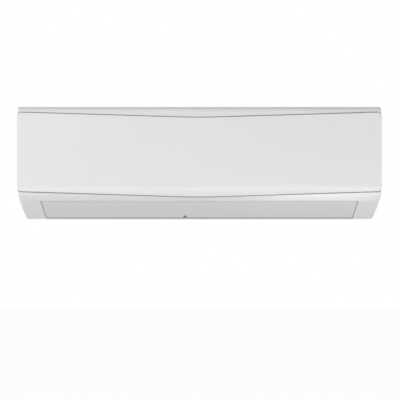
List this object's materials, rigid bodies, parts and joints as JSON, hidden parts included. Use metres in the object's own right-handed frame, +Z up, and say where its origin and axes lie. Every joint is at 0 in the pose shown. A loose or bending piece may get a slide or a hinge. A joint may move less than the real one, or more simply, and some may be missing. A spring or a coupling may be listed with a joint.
{
  "type": "mini split indoor unit",
  "caption": "Wall-mounted indoor unit of a split air conditioner: long casing with a hinged front panel, swinging air louver, upright vanes, filters, coil and cross-flow fan.",
  "frame": {"origin": "centre of the wall plate, on the wall", "axes": "+X along the unit, to the right as seen from the room; -Y out of the wall into the room; +Z up"},
  "size_m": [0.819, 0.185, 0.256],
  "materials": {
    "panel": "glossy white",
    "casing": "white",
    "louver": "white",
    "inner_plastic": "light grey",
    "fan_plastic": "dark grey",
    "filter_plastic": "dark grey",
    "filter_net": "fine net",
    "fins": "bare fins",
    "zinc_steel": "zinc coated",
    "copper": "bare copper",
    "brass": "bare brass",
    "rubber": "black",
    "motor_resin": "black",
    "board": "green board",
    "screw_steel": "zinc plated"
  },
  "bodies": {
    "casing": {"mounting_plate": "zinc_steel", "chassis": "inner_plastic", "duct_end_left": "inner_plastic", "duct_end_right": "inner_plastic", "drain_pan": "inner_plastic", "drain_plug": "rubber", "front_frame": "casing", "evaporator_plate_left": "zinc_steel", "evaporator_plate_right": "zinc_steel", "return_bends": "copper", "coil_sensor": "copper", "gas_pipe": "copper", "liquid_pipe": "copper", "gas_flare_nut": "brass", "liquid_flare_nut": "brass", "pipe_clamp": "inner_plastic", "fan_bearing": "rubber", "fan_motor": "motor_resin", "motor_clamp": "inner_plastic", "clamp_screws": "screw_steel", "louver_bearing": "inner_plastic", "louver_motor": "motor_resin", "louver_motor_screws": "screw_steel", "electrical_box": "inner_plastic", "electrical_box_cover": "inner_plastic", "control_board": "board", "terminal_block": "motor_resin", "wire_cover": "casing", "receiver_board": "board", "frame_screws": "screw_steel", "evaporator_front": "fins", "evaporator_top": "fins", "evaporator_rear": "fins"},
    "panel": {"front_panel": "panel"},
    "louver": {"louver": "louver"},
    "fan": {"fan_wheel": "fan_plastic", "motor_shaft": "screw_steel"},
    "button": {"aux_button": "casing"},
    "filter_left": {"filter_frame_left": "filter_plastic", "filter_mesh_left": "filter_net"},
    "vane_rod_left": {"vane_rod_left": "inner_plastic"},
    "filter_right": {"filter_frame_right": "filter_plastic", "filter_mesh_right": "filter_net"},
    "vane_rod_right": {"vane_rod_right": "inner_plastic"},
    "vane_1": {"vane_1": "inner_plastic"},
    "vane_2": {"vane_2": "inner_plastic"},
    "vane_3": {"vane_3": "inner_plastic"},
    "vane_4": {"vane_4": "inner_plastic"},
    "vane_5": {"vane_5": "inner_plastic"},
    "vane_6": {"vane_6": "inner_plastic"},
    "vane_7": {"vane_7": "inner_plastic"},
    "vane_8": {"vane_8": "inner_plastic"},
    "vane_9": {"vane_9": "inner_plastic"},
    "vane_10": {"vane_10": "inner_plastic"},
    "vane_11": {"vane_11": "inner_plastic"},
    "vane_12": {"vane_12": "inner_plastic"}
  },
  "joints": [
    {"name": "panel_open", "type": "hinge", "parent": "casing", "child": "panel", "pos_m": [0, -0.168, 0.093], "axis": [-1, 0, 0], "range_deg": [0, 60]},
    {"name": "louver_swing", "type": "hinge", "parent": "casing", "child": "louver", "pos_m": [0, -0.086, -0.126], "axis": [1, 0, 0], "range_deg": [0, 75]},
    {"name": "fan_spin", "type": "hinge", "parent": "casing", "child": "fan", "pos_m": [0, -0.088, -0.042], "axis": [1, 0, 0], "continuous": true},
    {"name": "aux_button_press", "type": "slide", "parent": "casing", "child": "button", "axis": [0, 1, 0], "range_m": [0, 0.0012], "stiffness_N_per_m": 1500},
    {"name": "filter_left_lift", "type": "hinge", "parent": "casing", "child": "filter_left", "pos_m": [0, -0.046, -0.032], "axis": [-1, 0, 0], "range_deg": [0, 4]},
    {"name": "filter_right_lift", "type": "hinge", "parent": "casing", "child": "filter_right", "pos_m": [0, -0.046, -0.032], "axis": [-1, 0, 0], "range_deg": [0, 4]},
    {"name": "vane_1_turn", "type": "hinge", "parent": "casing", "child": "vane_1", "pos_m": [-0.322, -0.13973, -0.08612], "axis": [0, 0.8309, -0.5565], "range_deg": [-30, 30]},
    {"name": "vane_2_turn", "type": "hinge", "parent": "casing", "child": "vane_2", "pos_m": [-0.27, -0.13973, -0.08612], "axis": [0, 0.8309, -0.5565], "range_deg": [-30, 30]},
    {"name": "vane_3_turn", "type": "hinge", "parent": "casing", "child": "vane_3", "pos_m": [-0.218, -0.13973, -0.08612], "axis": [0, 0.8309, -0.5565], "range_deg": [-30, 30]},
    {"name": "vane_4_turn", "type": "hinge", "parent": "casing", "child": "vane_4", "pos_m": [-0.166, -0.13973, -0.08612], "axis": [0, 0.8309, -0.5565], "range_deg": [-30, 30]},
    {"name": "vane_5_turn", "type": "hinge", "parent": "casing", "child": "vane_5", "pos_m": [-0.114, -0.13973, -0.08612], "axis": [0, 0.8309, -0.5565], "range_deg": [-30, 30]},
    {"name": "vane_6_turn", "type": "hinge", "parent": "casing", "child": "vane_6", "pos_m": [-0.062, -0.13973, -0.08612], "axis": [0, 0.8309, -0.5565], "range_deg": [-30, 30]},
    {"name": "vane_7_turn", "type": "hinge", "parent": "casing", "child": "vane_7", "pos_m": [-0.002, -0.13973, -0.08612], "axis": [0, 0.8309, -0.5565], "range_deg": [-30, 30]},
    {"name": "vane_8_turn", "type": "hinge", "parent": "casing", "child": "vane_8", "pos_m": [0.05, -0.13973, -0.08612], "axis": [0, 0.8309, -0.5565], "range_deg": [-30, 30]},
    {"name": "vane_9_turn", "type": "hinge", "parent": "casing", "child": "vane_9", "pos_m": [0.102, -0.13973, -0.08612], "axis": [0, 0.8309, -0.5565], "range_deg": [-30, 30]},
    {"name": "vane_10_turn", "type": "hinge", "parent": "casing", "child": "vane_10", "pos_m": [0.154, -0.13973, -0.08612], "axis": [0, 0.8309, -0.5565], "range_deg": [-30, 30]},
    {"name": "vane_11_turn", "type": "hinge", "parent": "casing", "child": "vane_11", "pos_m": [0.206, -0.13973, -0.08612], "axis": [0, 0.8309, -0.5565], "range_deg": [-30, 30]},
    {"name": "vane_12_turn", "type": "hinge", "parent": "casing", "child": "vane_12", "pos_m": [0.258, -0.13973, -0.08612], "axis": [0, 0.8309, -0.5565], "range_deg": [-30, 30]},
    {"name": "vane_rod_left_turn", "type": "hinge", "parent": "vane_1", "child": "vane_rod_left", "pos_m": [-0.322, -0.10204, -0.10173], "axis": [0, 0.8309, -0.5565], "range_deg": [-30, 30]},
    {"name": "vane_rod_right_turn", "type": "hinge", "parent": "vane_7", "child": "vane_rod_right", "pos_m": [-0.002, -0.10204, -0.10173], "axis": [0, 0.8309, -0.5565], "range_deg": [-30, 30]}
  ],
  "couplings": [
    {"joint": "vane_2_turn", "follows": "vane_1_turn", "ratio": 1},
    {"joint": "vane_3_turn", "follows": "vane_1_turn", "ratio": 1},
    {"joint": "vane_4_turn", "follows": "vane_1_turn", "ratio": 1},
    {"joint": "vane_5_turn", "follows": "vane_1_turn", "ratio": 1},
    {"joint": "vane_6_turn", "follows": "vane_1_turn", "ratio": 1},
    {"joint": "vane_8_turn", "follows": "vane_7_turn", "ratio": 1},
    {"joint": "vane_9_turn", "follows": "vane_7_turn", "ratio": 1},
    {"joint": "vane_10_turn", "follows": "vane_7_turn", "ratio": 1},
    {"joint": "vane_11_turn", "follows": "vane_7_turn", "ratio": 1},
    {"joint": "vane_12_turn", "follows": "vane_7_turn", "ratio": 1},
    {"joint": "vane_rod_left_turn", "follows": "vane_1_turn", "ratio": -1},
    {"joint": "vane_rod_right_turn", "follows": "vane_7_turn", "ratio": -1}
  ]
}
